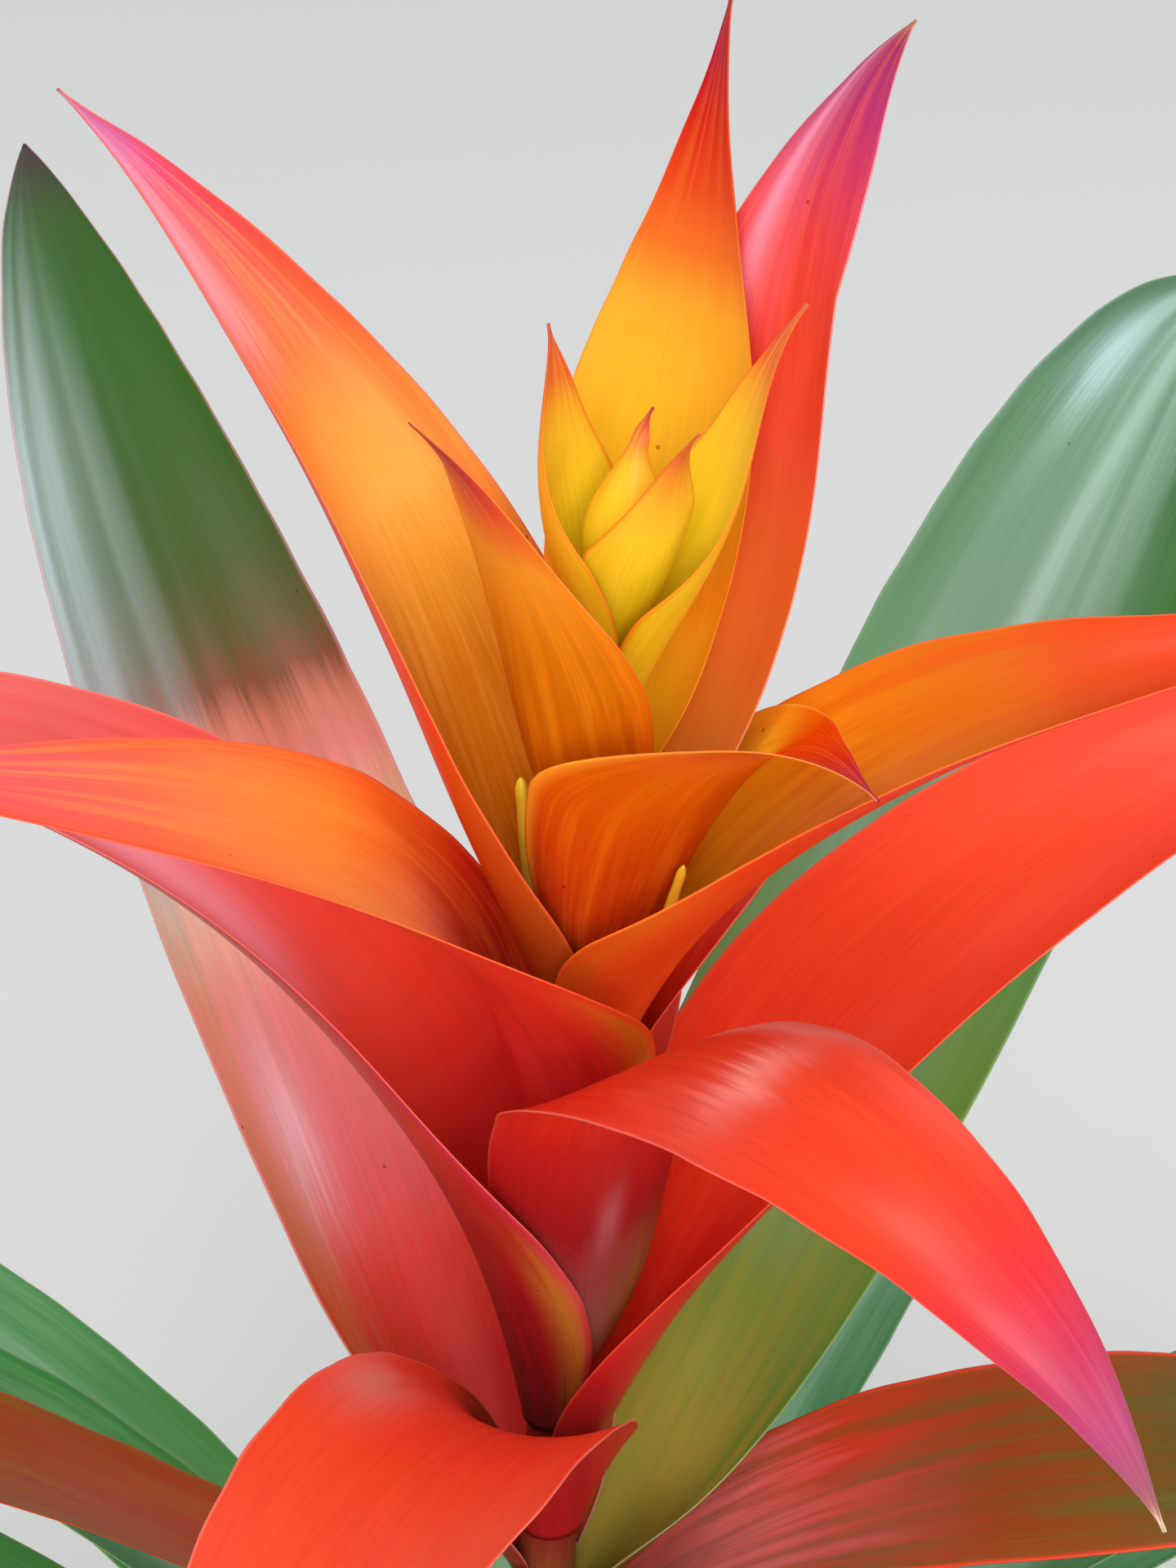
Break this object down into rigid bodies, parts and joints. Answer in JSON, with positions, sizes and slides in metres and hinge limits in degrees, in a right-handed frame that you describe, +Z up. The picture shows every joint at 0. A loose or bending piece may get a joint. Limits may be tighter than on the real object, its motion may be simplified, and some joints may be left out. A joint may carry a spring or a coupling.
{
  "type": "potted guzmania",
  "caption": "Potted bromeliad: a rosette of arching strap leaves in a plain clay pot, with an upright spike of broad curling red, orange and green bracts.",
  "frame": {"origin": "middle of the pot's base, on the surface it stands on", "axes": "+Z up along the stem; -Y is the side that the picture looks from"},
  "size_m": [0.5693, 0.5697, 0.5098],
  "materials": {
    "pot": "matte terracotta",
    "potting_mix": "matte, coarse",
    "stem": "satin",
    "bract_yellow": "glossy",
    "bract_orange": "glossy",
    "bract_red": "glossy",
    "bract_brown": "glossy",
    "bract_green": "glossy",
    "flower": "satin",
    "leaf": "glossy"
  },
  "bodies": {
    "root": {"pot": "pot", "potting_mix": "potting_mix", "stem": "stem", "heart_bract_top": "bract_yellow", "heart_bract_front": "bract_yellow", "heart_bract_left": "bract_yellow", "heart_bract_right": "bract_yellow", "bract_back_upright": "bract_orange", "bract_front_upright": "bract_orange", "bract_right_upright": "bract_red", "bract_front_curled": "bract_orange", "bract_left_tall": "bract_orange", "bract_right_long": "bract_orange", "bract_back_upper": "bract_red", "bract_left_golden": "bract_orange", "bract_back_lower": "bract_red", "bract_front_arching": "bract_red", "bract_left_coral": "bract_red", "bract_right_broad": "bract_red", "bract_front_folded": "bract_red", "bract_left_green": "bract_green", "bract_right_green": "bract_green", "bract_right_brown": "bract_brown", "bract_left_brown": "bract_brown", "scape_bract_upper": "bract_green", "scape_bract_lower": "bract_green", "flower_left": "flower", "flower_right": "flower", "flower_back": "flower", "leaf_01": "leaf", "leaf_02": "leaf", "leaf_03": "leaf", "leaf_04": "leaf", "leaf_05": "leaf", "leaf_06": "leaf", "leaf_07": "leaf", "leaf_08": "leaf", "leaf_09": "leaf", "leaf_10": "leaf", "leaf_12": "leaf", "leaf_13": "leaf", "leaf_14": "leaf", "leaf_15": "leaf", "leaf_16": "leaf"}
  },
  "joints": []
}
